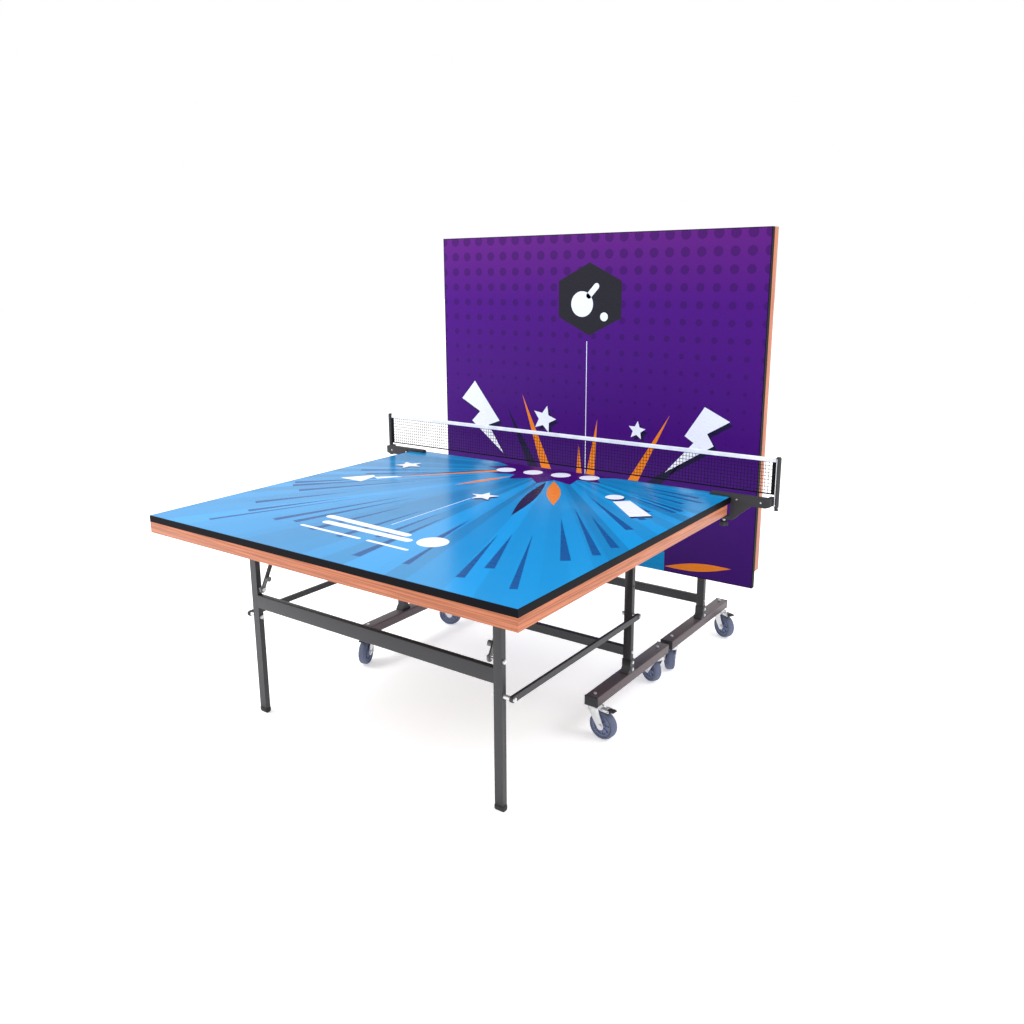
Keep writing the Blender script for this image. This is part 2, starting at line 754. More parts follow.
def on_points(tree, points, instance, rotation=None, scale=None):
    """Instance on Points node's output."""
    inputs = {"Points": points, "Instance": instance}
    if rotation is not None:
        inputs["Rotation"] = rotation
    if scale is not None:
        inputs["Scale"] = scale
    return add_node(tree, "GeometryNodeInstanceOnPoints", inputs).outputs[0]


def joined(tree, *geometries):
    """Join Geometry node's output."""
    node = add_node(tree, "GeometryNodeJoinGeometry")
    for geometry in geometries:
        tree.links.new(geometry, node.inputs[0])
    return node.outputs[0]


def own_turn(tree):
    """The turn that grown() gave each point."""
    return add_node(
        tree, "GeometryNodeInputNamedAttribute", {"Name": "turn"}, data_type="FLOAT_VECTOR",
    ).outputs[0]


def hex_cap_tree():
    """Hexagon of a flange screw on each point, turned by the points' own turn."""
    tree, sockets = start_tree("hex_caps", {"Radius": "Float", "Height": "Float"})
    low = add_node(tree, "GeometryNodeMeshCylinder", {
        "Vertices": 6, "Radius": sockets["Radius"], "Depth": sockets["Height"],
    }, fill_type="NGON").outputs["Mesh"]
    dome = add_node(tree, "GeometryNodeMeshCylinder", {
        "Vertices": 12, "Radius": calc(tree, "MULTIPLY", sockets["Radius"], 0.8),
        "Depth": calc(tree, "MULTIPLY", sockets["Height"], 1.3),
    }, fill_type="NGON").outputs["Mesh"]
    turn = own_turn(tree)
    return end_tree(tree, sockets, on_points(
        tree, sockets["Geometry"], joined(tree, low, dome), turn))


def net_tree():
    """Knotted net: upright and level strings, and a knot at each crossing."""
    tree, sockets = start_tree("net_strings", {
        "Width": "Float", "Height": "Float", "Pitch": "Float", "String Diameter": "Float",
    })
    width, height, pitch = sockets["Width"], sockets["Height"], sockets["Pitch"]
    columns = calc(tree, "ADD", calc(tree, "FLOOR", calc(tree, "DIVIDE", width, pitch)), 1.0)
    rows = calc(tree, "ADD", calc(tree, "ROUND", calc(tree, "DIVIDE", height, pitch)), 1.0)
    profile = add_node(tree, "GeometryNodeCurvePrimitiveCircle", {
        "Resolution": 5, "Radius": calc(tree, "MULTIPLY", sockets["String Diameter"], 0.5),
    }).outputs["Curve"]
    crossings = add_node(tree, "GeometryNodeMeshGrid", {
        "Size X": width, "Size Y": height, "Vertices X": columns, "Vertices Y": rows,
    }).outputs["Mesh"]
    upright = add_node(tree, "GeometryNodeTransform", {
        "Geometry": crossings, "Rotation": (math.pi / 2, 0.0, 0.0),
    }).outputs[0]
    lines = add_node(tree, "GeometryNodeMeshToCurve", {"Mesh": upright}).outputs[0]
    strings = add_node(tree, "GeometryNodeCurveToMesh", {
        "Curve": lines, "Profile Curve": profile, "Fill Caps": True,
    }).outputs[0]
    knot = add_node(tree, "GeometryNodeMeshIcoSphere", {
        "Radius": calc(tree, "MULTIPLY", sockets["String Diameter"], 0.8), "Subdivisions": 1,
    }).outputs["Mesh"]
    knots = on_points(tree, upright, knot)
    return end_tree(tree, sockets, on_points(
        tree, sockets["Geometry"], joined(tree, strings, knots)))


def stitch_tree():
    """Row of slanted stitches along X."""
    tree, sockets = start_tree("stitches", {
        "Length": "Float", "Pitch": "Float", "Thread": "Float",
    })
    count = calc(tree, "FLOOR", calc(tree, "DIVIDE", sockets["Length"], sockets["Pitch"]))
    step = add_node(tree, "ShaderNodeCombineXYZ", {"X": sockets["Pitch"]}).outputs[0]
    row = add_node(tree, "GeometryNodeMeshLine", {"Count": count, "Offset": step}).outputs[0]
    bead = add_node(tree, "GeometryNodeMeshIcoSphere", {
        "Radius": sockets["Thread"], "Subdivisions": 1,
    }).outputs["Mesh"]
    size = (2.6, 0.6, 1.0)
    stitches = on_points(tree, row, bead, (0.0, 0.35, 0.0), size)
    return end_tree(tree, sockets, on_points(tree, sockets["Geometry"], stitches))


def ray_tree():
    """Thin rays that point at the net's middle and end short of the board's edges."""
    tree, sockets = start_tree("rays", {
        "Count": "Int", "Half Width": "Float", "Length": "Float", "Ray Width": "Float",
        "Seed": "Int",
    })
    row = add_node(tree, "GeometryNodeMeshLine", {
        "Count": sockets["Count"], "Offset": (0.0, 0.0, 0.0),
    }).outputs[0]
    index = add_node(tree, "GeometryNodeInputIndex").outputs[0]

    def chance(low, high, salt):
        seed = calc(tree, "ADD", sockets["Seed"], float(salt))
        return add_node(tree, "FunctionNodeRandomValue", {
            2: low, 3: high, "Seed": seed,
        }, data_type="FLOAT").outputs[1]

    share = calc(tree, "DIVIDE", calc(tree, "ADD", index, chance(0.1, 0.9, 1)), sockets["Count"])
    angle = spread(tree, share, 0.0, 1.0, -1.0, 1.45)
    side_room = calc(tree, "DIVIDE", sockets["Half Width"],
                     calc(tree, "MAXIMUM", calc(tree, "ABSOLUTE", calc(tree, "SINE", angle)), 0.01))
    end_room = calc(tree, "DIVIDE", sockets["Length"], calc(tree, "COSINE", angle))
    room = calc(tree, "MINIMUM", side_room, end_room)
    reach = calc(tree, "MULTIPLY", room, chance(0.80, 0.97, 2))
    size = calc(tree, "MULTIPLY", room, chance(0.16, 0.45, 3))
    tip = calc(tree, "SUBTRACT", reach, size)
    x = calc(tree, "MULTIPLY", tip, calc(tree, "SINE", angle))
    y = calc(tree, "MULTIPLY", tip, calc(tree, "COSINE", angle))
    y = calc(tree, "MULTIPLY", y, -1.0)
    place = add_node(tree, "ShaderNodeCombineXYZ", {"X": x, "Y": y}).outputs[0]
    inputs = {"Geometry": row, "Position": place}
    moved = add_node(tree, "GeometryNodeSetPosition", inputs).outputs[0]
    wedge = add_node(tree, "GeometryNodeMeshCone", {
        "Vertices": 4, "Radius Top": 1.0, "Radius Bottom": 0.03, "Depth": 1.0,
    }, fill_type="NGON").outputs["Mesh"]
    lying = add_node(tree, "GeometryNodeTransform", {
        "Geometry": wedge, "Rotation": (math.pi / 2, 0.0, 0.0),
    }).outputs[0]
    scale = add_node(tree, "ShaderNodeCombineXYZ", {
        "X": calc(tree, "MULTIPLY", sockets["Ray Width"], chance(0.5, 1.0, 4)),
        "Y": size, "Z": 0.12 * MM,
    }).outputs[0]
    turn = add_node(tree, "ShaderNodeCombineXYZ", {"Z": angle}).outputs[0]
    rays = on_points(tree, moved, lying, turn, scale)
    return end_tree(tree, sockets, on_points(tree, sockets["Geometry"], rays))


def spoke_tree():
    """Ribs round a wheel's hub, on both of its faces."""
    tree, sockets = start_tree("hub_ribs", {
        "Ribs": "Int", "Ring Radius": "Float", "Rib Length": "Float", "Rib Width": "Float",
        "Rib Depth": "Float",
    })
    ring = add_node(tree, "GeometryNodeMeshCircle", {
        "Vertices": sockets["Ribs"], "Radius": sockets["Ring Radius"],
    }).outputs[0]
    size = add_node(tree, "ShaderNodeCombineXYZ", {
        "X": sockets["Rib Length"], "Y": sockets["Rib Width"], "Z": sockets["Rib Depth"],
    }).outputs[0]
    rib = add_node(tree, "GeometryNodeMeshCube", {"Size": size}).outputs["Mesh"]
    index = add_node(tree, "GeometryNodeInputIndex").outputs[0]
    step = calc(tree, "DIVIDE", 2 * math.pi, sockets["Ribs"])
    turn = add_node(tree, "ShaderNodeCombineXYZ", {
        "Z": calc(tree, "MULTIPLY", index, step),
    }).outputs[0]
    ribs = on_points(tree, ring, rib, turn)
    own = own_turn(tree)
    return end_tree(tree, sockets, on_points(tree, sockets["Geometry"], ribs, own))


def thread_tree():
    """Screw thread that climbs along Z from each point."""
    tree, sockets = start_tree("screw_thread", {
        "Radius": "Float", "Pitch": "Float", "Length": "Float", "Ridge": "Float",
    })
    turns = calc(tree, "DIVIDE", sockets["Length"], sockets["Pitch"])
    spiral = add_node(tree, "GeometryNodeCurveSpiral", {
        "Resolution": 14, "Rotations": turns, "Start Radius": sockets["Radius"],
        "End Radius": sockets["Radius"], "Height": sockets["Length"],
    }).outputs[0]
    profile = add_node(tree, "GeometryNodeCurvePrimitiveCircle", {
        "Resolution": 4, "Radius": sockets["Ridge"],
    }).outputs["Curve"]
    ridge = add_node(tree, "GeometryNodeCurveToMesh", {
        "Curve": spiral, "Profile Curve": profile, "Fill Caps": True,
    }).outputs[0]
    return end_tree(tree, sockets, on_points(tree, sockets["Geometry"], ridge))


# ---------------------------------------------------------------- print


def board_point(half, x, reach, lift):
    """Point on a board's playing face: x across it, reach from its net edge, lift off it."""
    if half == "near":
        return Vector((x, NET_Y - reach, PLAY_Z + lift))
    return Vector((x, FAR_FACE - lift, FAR_FOOT + reach))


def add_flat(shape, half, outline, layer=1):
    """Thin closed plate of ink with an outline of (x, reach) points."""
    lift = layer * INK_STEP * MM
    low = [shape.verts.new(board_point(half, x, reach, -INK_DEPTH * MM)) for x, reach in outline]
    high = [shape.verts.new(board_point(half, x, reach, lift)) for x, reach in outline]
    shape.faces.new(low)
    shape.faces.new(high)
    for k in range(len(outline)):
        j = (k + 1) % len(outline)
        shape.faces.new((low[k], low[j], high[j], high[k]))


def star(x, reach, radius, turn=0.0):
    """Outline of a five-pointed star."""
    return [
        (x + r * math.sin(turn + math.pi * k / 5), reach + r * math.cos(turn + math.pi * k / 5))
        for k in range(10)
        for r in [radius if k % 2 == 0 else radius * 0.46]
    ]


def disc(x, reach, radius, sides=32, squash=1.0):
    """Outline of a disc or an ellipse."""
    return [
        (x + radius * math.cos(2 * math.pi * k / sides),
         reach + squash * radius * math.sin(2 * math.pi * k / sides))
        for k in range(sides)
    ]


def leaf(start, end, width, steps=12):
    """Outline of a lens between two points, made of two arcs."""
    a, b = Vector(start), Vector(end)
    across = Vector((a.y - b.y, b.x - a.x)).normalized() * width / 2

    def bowed(k, side):
        return a.lerp(b, k / steps) + side * across * math.sin(math.pi * k / steps)

    there = [bowed(k, 1) for k in range(steps + 1)]
    back = [bowed(k, -1) for k in range(steps - 1, 0, -1)]
    return [tuple(point) for point in there + back]


def shard(tip, foot, width):
    """Outline of a long splinter with a flat foot."""
    a, b = Vector(tip), Vector(foot)
    across = Vector((a.y - b.y, b.x - a.x)).normalized() * width / 2
    return [tuple(a), tuple(b + across), tuple(b - across)]


def streak(start, end, width, steps=8):
    """Outline of a line with round ends."""
    a, b = Vector(start), Vector(end)
    lean = math.atan2(b.y - a.y, b.x - a.x)
    outline = []
    for middle, first in ((b, lean - math.pi / 2), (a, lean + math.pi / 2)):
        for k in range(steps + 1):
            turn = first + math.pi * k / steps
            outline.append((
                middle.x + width / 2 * math.cos(turn), middle.y + width / 2 * math.sin(turn),
            ))
    return outline


def burst(half_width, depth, spikes, dip, shoulder=0.0):
    """Outline of a half burst on the net edge, with upright sides up to a shoulder."""
    outline = [(half_width, 0.0005)] if shoulder else []
    for k in range(2 * spikes + 1):
        turn = math.pi * k / (2 * spikes)
        part = 1.0 if k % 2 == 0 else dip
        rise = shoulder + (depth - shoulder) * part * math.sin(turn)
        outline.append((half_width * part * math.cos(turn), max(0.0005, rise)))
    return outline + ([(-half_width, 0.0005)] if shoulder else [])


def bat(x, reach, size, lean):
    """Outlines of a bat's blade and handle."""
    blade = disc(x, reach, size * 0.5, 28)
    end = (x + size * 0.95 * math.sin(lean), reach + size * 0.95 * math.cos(lean))
    start = (x + size * 0.45 * math.sin(lean), reach + size * 0.45 * math.cos(lean))
    return [blade, streak(start, end, size * 0.24)]


def print_shapes(half, name, material, groups):
    """One piece of ink from groups of (layer, outlines)."""
    shape = bmesh.new()
    for layer, outlines in groups:
        for outline in outlines:
            add_flat(shape, half, outline, layer)
    bmesh.ops.recalc_face_normals(shape, faces=shape.faces)
    piece = add_object(f"{half}_{name}", shape, material)
    return attach(piece, f"{half}_top")


# ---------------------------------------------------------------- operators


class TABLE_OT_stage(bpy.types.Operator):
    """Make the camera, the soft lights, the white surroundings and the floor"""

    bl_idname = "pingpong.stage"
    bl_label = "Studio Stage"

    def execute(self, context):
        look = context.scene.stage_look
        self.make_camera(context, look)
        self.make_lights(context, look)
        shape = bmesh.new()
        bmesh.ops.create_grid(shape, x_segments=1, y_segments=1, size=40.0)
        floor = add_object("studio_floor", shape)
        floor.data.materials.append(floor_finish())
        return {"FINISHED"}

    def make_camera(self, context, look):
        """Camera off the table's right baseline corner, above the board."""
        a, e, tilt = look.azimuth, look.elevation, look.roll
        back = Vector((math.sin(a) * math.cos(e), -math.cos(a) * math.cos(e), math.sin(e)))
        right = (-back).cross(Vector((0, 0, 1))).normalized()
        up = right.cross(-back)
        right, up = (
            math.cos(tilt) * right + math.sin(tilt) * up,
            math.cos(tilt) * up - math.sin(tilt) * right,
        )
        data = bpy.data.cameras.new("camera")
        data.lens = look.lens
        data.shift_x, data.shift_y = CAMERA_SHIFT
        camera = bpy.data.objects.new("camera", data)
        turn = Matrix((right, up, back)).transposed().to_4x4()
        camera.matrix_world = Matrix.Translation(look.camera_place) @ turn
        context.scene.collection.objects.link(camera)
        context.scene.camera = camera

    def make_lights(self, context, look):
        """Two soft boxes, and surroundings that light the table evenly."""
        world = bpy.data.worlds.new("surroundings")
        world.use_nodes = True
        background = world.node_tree.nodes["Background"]
        background.inputs["Color"].default_value = (1.0, 1.0, 1.0, 1.0)
        background.inputs["Strength"].default_value = look.sky
        context.scene.world = world
        context.scene.view_settings.view_transform = "Standard"
        for name, place, size, share in (
            ("key_box", (-2.6, -1.8, 3.6), 2.4, 1.0), ("fill_box", (3.4, 0.8, 3.2), 2.0, 0.45),
        ):
            data = bpy.data.lights.new(name, "AREA")
            data.shape, data.size, data.energy = "SQUARE", size, look.key * share
            light = bpy.data.objects.new(name, data)
            light.location = place
            light.rotation_mode = "QUATERNION"
            aim = Vector((0, 0, 0.6)) - Vector(place)
            light.rotation_quaternion = aim.to_track_quat("-Z", "Y")
            context.scene.collection.objects.link(light)


class TABLE_OT_finishes(bpy.types.Operator):
    """Make the materials and give the carried-over pieces theirs"""

    bl_idname = "pingpong.finishes"
    bl_label = "Finishes"

    def execute(self, context):
        make_finishes()
        for half in HALVES:
            plain = {"board": f"{half}_print", "edge_band": "edge_band", "top_frame": "black_steel"}
            for part, material in plain.items():
                slots = frame["nodes"][f"{half}_{part}"].data.materials
                slots.clear()
                slots.append(finish(material))
        return {"FINISHED"}


class TABLE_OT_tension_cord(bpy.types.Operator):
    """Make the net's tension cord, its cleat bead and its loose end with a knot"""

    bl_idname = "pingpong.tension_cord"
    bl_label = "Tension Cord"

    def execute(self, context):
        low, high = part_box("tension_cord")
        middle = (low + high) / 2
        radius = 1.2 * MM
        bead = 3 * MM
        shape = bmesh.new()
        steps = 40
        route = [
            (middle.x, middle.y, high.z - radius + (low.z + bead - high.z) * k / steps)
            for k in range(steps + 1)
        ]
        tube_along(shape, route, radius * 0.98, 10)
        bmesh.ops.create_uvsphere(
            shape, u_segments=14, v_segments=8, radius=bead,
            matrix=Matrix.Translation((middle.x, middle.y, low.z + bead)),
        )
        cord = add_object("tension_cord_laid", shape, "cord")
        attach(cord, "near_top", ["tension_cord"])
        self.make_tail(Vector((middle.x, middle.y, low.z)), radius)
        return {"FINISHED"}

    def make_tail(self, start, radius):
        """Loose end that hangs from the bead, with a small knot near its end."""
        points = [start + Vector(point) * MM for point in TAIL_ROUTE]
        smooth = []
        for i in range(len(points) - 1):
            before, after = points[max(i - 1, 0)], points[min(i + 2, len(points) - 1)]
            for k in range(4):
                t = k / 4
                bend = (points[i + 1] - before) / 2, (after - points[i]) / 2
                smooth.append(
                    points[i] * (2 * t**3 - 3 * t**2 + 1) + points[i + 1] * (3 * t**2 - 2 * t**3)
                    + bend[0] * (t**3 - 2 * t**2 + t) + bend[1] * (t**3 - t**2)
                )
        smooth.append(points[-1])
        shape = bmesh.new()
        tube_along(shape, smooth, radius, 10)
        tail = add_object("tension_cord_loose_end", shape, "cord")
        attach(tail, "near_top", ["tension_cord_tail"])


class TABLE_OT_near_print(bpy.types.Operator):
    """Print the near half: rays, burst, centre line, flash, stars, leaves and a flying ball"""

    bl_idname = "pingpong.near_print"
    bl_label = "Near Half Print"

    def execute(self, context):
        wide = sizes().line_width / 2
        balls = [
            disc(x, 0.115 - 0.02 * k, 0.040, 24)
            for k, x in enumerate((-0.17, -0.05, 0.07, 0.19))
        ]
        flying = [
            streak((-0.24, 1.030), (0.12, 1.050), 0.030),
            streak((-0.20, 1.085), (0.16, 1.090), 0.030),
            streak((-0.24, 1.155), (0.02, 1.160), 0.014),
            streak((0.06, 1.160), (0.22, 1.165), 0.014),
            disc(0.235, 1.062, 0.050),
        ]
        white = [
            star(-0.569, 0.265, 0.062, 0.3), star(0.021, 0.520, 0.056, 0.9),
            [(-0.637, 0.600), (-0.558, 0.490), (-0.530, 0.512), (-0.470, 0.455), (-0.440, 0.450),
             (-0.502, 0.530), (-0.535, 0.512), (-0.523, 0.600)],
            [(-wide, 0.575), (wide, 0.575), (wide, 0.99), (-wide, 0.99)],
            disc(0.421, 0.270, 0.034),
            [(0.446, 0.330), (0.490, 0.285), (0.645, 0.425), (0.590, 0.475)],
        ]
        print_shapes("near", "white_print", "ink_white", [(3, white + flying), (4, balls)])
        orange = [
            shard((-0.500, 0.510), (-0.190, 0.150), 0.030),
            leaf((-0.180, 0.440), (-0.085, 0.205), 0.028),
            leaf((0.300, 0.490), (0.105, 0.180), 0.052),
        ]
        print_shapes("near", "orange_print", "ink_orange", [(2, orange)])
        dark = [
            shard((-0.500, 0.475), (-0.200, 0.135), 0.018),
            leaf((0.255, 0.680), (0.085, 0.205), 0.045),
        ]
        shadow = [
            [(x + 0.012, reach + 0.014) for x, reach in outline]
            for outline in white[:2] + white[4:]
        ]
        print_shapes("near", "dark_print", "ink_navy", [(1, dark + shadow)])
        print_shapes("near", "burst_print", "ink_violet", [(2, [burst(0.30, 0.25, 7, 0.72)])])
        self.make_rays()
        return {"FINISHED"}

    def make_rays(self):
        """Dark rays as thin slips of ink."""
        rays = grown(ray_tree(), "near_ray_print", [board_point("near", 0, 0, 0.02 * MM)], {
            "Count": sizes().ray_count, "Half Width": EDGE_X - 12 * MM,
            "Length": HALF_LENGTH - 12 * MM, "Ray Width": 17 * MM, "Seed": sizes().ray_seed,
            "Material": finish("ink_deep_blue"),
        })
        attach(rays, "near_top")


class TABLE_OT_far_print(bpy.types.Operator):
    """Print the far half: badge, centre line, flashes, stars and splinters"""

    bl_idname = "pingpong.far_print"
    bl_label = "Far Half Print"

    def execute(self, context):
        wide = sizes().line_width / 2
        badge = Vector((0.010, 1.107))
        flashes = [
            [(-0.593, 0.733), (-0.669, 0.648), (-0.565, 0.594), (-0.612, 0.547), (-0.434, 0.410),
             (-0.517, 0.535), (-0.455, 0.559)],
            [(0.535, 0.700), (0.640, 0.650), (0.549, 0.595), (0.578, 0.549), (0.375, 0.420),
             (0.494, 0.554), (0.455, 0.578)],
        ]
        stars = [star(-0.211, 0.588, 0.062, 0.25), star(0.243, 0.580, 0.040, 0.1)]
        line = [(-wide, 0.30), (wide, 0.30), (wide, 0.935), (-wide, 0.935)]
        bats = bat(badge.x - 0.035, badge.y - 0.02, 0.105, 0.75)
        bats.append(disc(badge.x + 0.07, badge.y - 0.07, 0.018))
        print_shapes("far", "white_print", "ink_white", [(3, flashes + stars + [line]), (4, bats)])
        orange = [
            shard((-0.328, 0.690), (-0.175, 0.30), 0.058),
            shard((0.056, 0.610), (0.018, 0.30), 0.052),
            shard((-0.034, 0.500), (-0.028, 0.30), 0.040),
            shard((0.388, 0.655), (0.195, 0.30), 0.050),
            leaf((0.388, 0.022), (0.675, 0.063), 0.034),
        ]
        print_shapes("far", "orange_print", "ink_orange", [(2, orange)])
        dark = [
            shard((-0.413, 0.630), (-0.225, 0.28), 0.062),
            shard((0.500, 0.520), (0.255, 0.30), 0.062),
        ]
        shadow = [
            [(x + 0.014, reach - 0.014) for x, reach in outline] for outline in flashes + stars
        ]
        print_shapes("far", "dark_print", "ink_navy", [(1, dark + shadow)])
        hexagon = [
            (badge.x + 0.172 * math.sin(turn), badge.y + 0.148 * math.cos(turn))
            for turn in (k * math.pi / 3 for k in range(6))
        ]
        print_shapes("far", "badge_print", "ink_badge", [(2, [hexagon])])
        print_shapes("far", "burst_print", "ink_blue", [(1, [burst(0.386, 0.30, 7, 0.74, 0.083)])])
        return {"FINISHED"}


class TABLE_OT_aprons(bpy.types.Operator):
    """Make the wooden aprons with eased edges, the grain along each board"""

    bl_idname = "pingpong.aprons"
    bl_label = "Aprons"

    def execute(self, context):
        for half in HALVES:
            node = f"{half}_aprons"
            piece = softened(node, "near_end_wood")
            low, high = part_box(node)
            piece.data.materials.append(finish(f"{half}_side_wood"))
            thick = 25 * MM
            for face in piece.data.polygons:
                middle = face.center
                beside = abs(middle.x) > high.x - thick - 0.1 * MM
                inner = middle.y > low.y + thick if half == "near" else middle.z < high.z - thick
                face.material_index = 1 if beside and inner else 0
        return {"FINISHED"}


class TABLE_OT_tubes(bpy.types.Operator):
    """Make the legs, uprights, crossbars, foot beams and links as drawn tubes with round corners"""

    bl_idname = "pingpong.tubes"
    bl_label = "Steel Tubes"

    def execute(self, context):
        corner = sizes().tube_round
        for half in HALVES:
            softened(f"{half}_legs", "black_steel", corner, 2)
            softened(f"{half}_uprights", "black_steel", corner * 0.8, 2)
            softened(f"{half}_leg_crossbar", "black_steel", corner, 0)
            softened(f"{half}_crossbar", "black_steel", corner, 0)
            softened(f"{half}_foot_beams", "beam_steel", corner, 1)
            softened(f"{half}_links", "black_steel")
            softened(f"{half}_stays", "stay_steel")
            softened(f"{half}_beam_caps", "black_plastic")
            softened(f"{half}_leg_feet", "foot_rubber")
        return {"FINISHED"}


class TABLE_OT_fasteners(bpy.types.Operator):
    """Make the bolts, each with a flange and a hexagon at its ends"""

    bl_idname = "pingpong.fasteners"
    bl_label = "Fasteners"

    def execute(self, context):
        tree = hex_cap_tree()
        for half in HALVES:
            for part in ("top_bolts", "leg_bolts", "trolley_bolts"):
                node = f"{half}_{part}"
                softened(node, "zinc")
                points, turns = self.ends(node)
                values = {"Radius": 5.2 * MM, "Height": 2.0 * MM, "Material": finish("zinc")}
                caps = grown(tree, f"{node}_hexagons", points, values, turns=turns)
                attach(caps, BODY_OF[node])
        return {"FINISHED"}

    def ends(self, node):
        """Where each bolt's hexagons sit, and how they are turned."""
        points, turns = [], []
        for low, high in islands(node):
            middle, size = (low + high) / 2, high - low
            if size.z < min(size.x, size.y) * 0.6:
                points.append((middle.x, middle.y, high.z))
                turns.append((0.0, 0.0, 0.3))
                continue
            outward = 1 if middle.x > 0 else -1
            faces = [outward, -outward] if size.x > 15 * MM else [outward]
            for face in faces:
                points.append((high.x if face > 0 else low.x, middle.y, middle.z))
                turns.append((0.0, face * math.pi / 2, 0.0))
        return points, turns


class TABLE_OT_casters(bpy.types.Operator):
    """Make the casters: fork with its race, tyre, hub with ribs, and brake pedal"""

    bl_idname = "pingpong.casters"
    bl_label = "Casters"

    def execute(self, context):
        ribs = spoke_tree()
        for name in CASTERS:
            softened(f"{name}_caster_fork", "zinc")
            swivel = Vector(JOINTS[f"{name}_swivel"]["pos_m"])
            self.make_race(name, swivel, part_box(f"{name}_caster_wheel")[1].z)
            self.make_wheel(name, ribs)
            if f"{name}_brake" in JOINTS:
                softened(f"{name}_brake_pedal", "black_plastic")
        return {"FINISHED"}

    def make_race(self, name, swivel, wheel_top):
        """Rolled ring that holds the swivel's balls."""
        shape = bmesh.new()
        ring, middle = 24.2 * MM, wheel_top + 9 * MM
        bulge, rise = 0.9 * MM, 2.2 * MM
        profile = [
            (ring + bulge * math.cos(t), middle - swivel.z + rise * math.sin(t))
            for t in (2 * math.pi * k / 10 for k in range(10))
        ]
        lathe(shape, profile, 40, Matrix.Translation(swivel))
        tidy(shape)
        race = add_object(f"{name}_swivel_race", shape, "zinc")
        attach(race, f"{name}_fork")

    def make_wheel(self, name, rib_tree):
        """Tyre and hub on the wheel's own axle."""
        node = f"{name}_caster_wheel"
        joint = JOINTS[f"{name}_roll"]
        axle = Vector(joint["axis"]).normalized()
        turn = axle.to_track_quat("Z", "Y").to_matrix().to_4x4()
        place = Matrix.Translation(joint["pos_m"]) @ turn
        # Half profiles in millimetres, as (radius, place along the axle)
        hub_half = 16
        tyre = [
            (35, -11), (36, -14), (38.5, -15.4), (39.5, -13.4), (41.5, -13.4), (42.5, -15.8),
            (46.5, -14.2), (48.6, -11.5), (49.6, -8.2), (49.7, -7.4), (49.1, -7.2), (49.1, -6.6),
            (49.9, -6.2), (50, 0),
        ]
        loop = [(a * MM, b * MM) for a, b in tyre]
        loop += [(a, -b) for a, b in reversed(loop[:-1])]
        shape = bmesh.new()
        lathe(shape, loop, 72, place)
        tidy(shape)
        piece = add_object(f"{name}_tyre", shape, "tyre")
        attach(piece, BODY_OF[node], [node])
        hub = [
            (4.2, -hub_half), (11, -hub_half), (12.5, -14.5), (13.5, -7), (31, -5.5), (33, -12),
            (35.5, -13),
        ]
        loop = [(a * MM, b * MM) for a, b in hub]
        loop += [(a, -b) for a, b in reversed(loop)]
        shape = bmesh.new()
        lathe(shape, loop, 56, place)
        tidy(shape)
        attach(add_object(f"{name}_hub", shape, "hub"), BODY_OF[node])
        ribs = grown(rib_tree, f"{name}_hub_ribs", [joint["pos_m"]], {
            "Ribs": 8, "Ring Radius": 22.5 * MM, "Rib Length": 21 * MM, "Rib Width": 2.6 * MM,
            "Rib Depth": 22 * MM, "Material": finish("hub"),
        }, turns=[tuple(place.to_euler())])
        attach(ribs, BODY_OF[node])


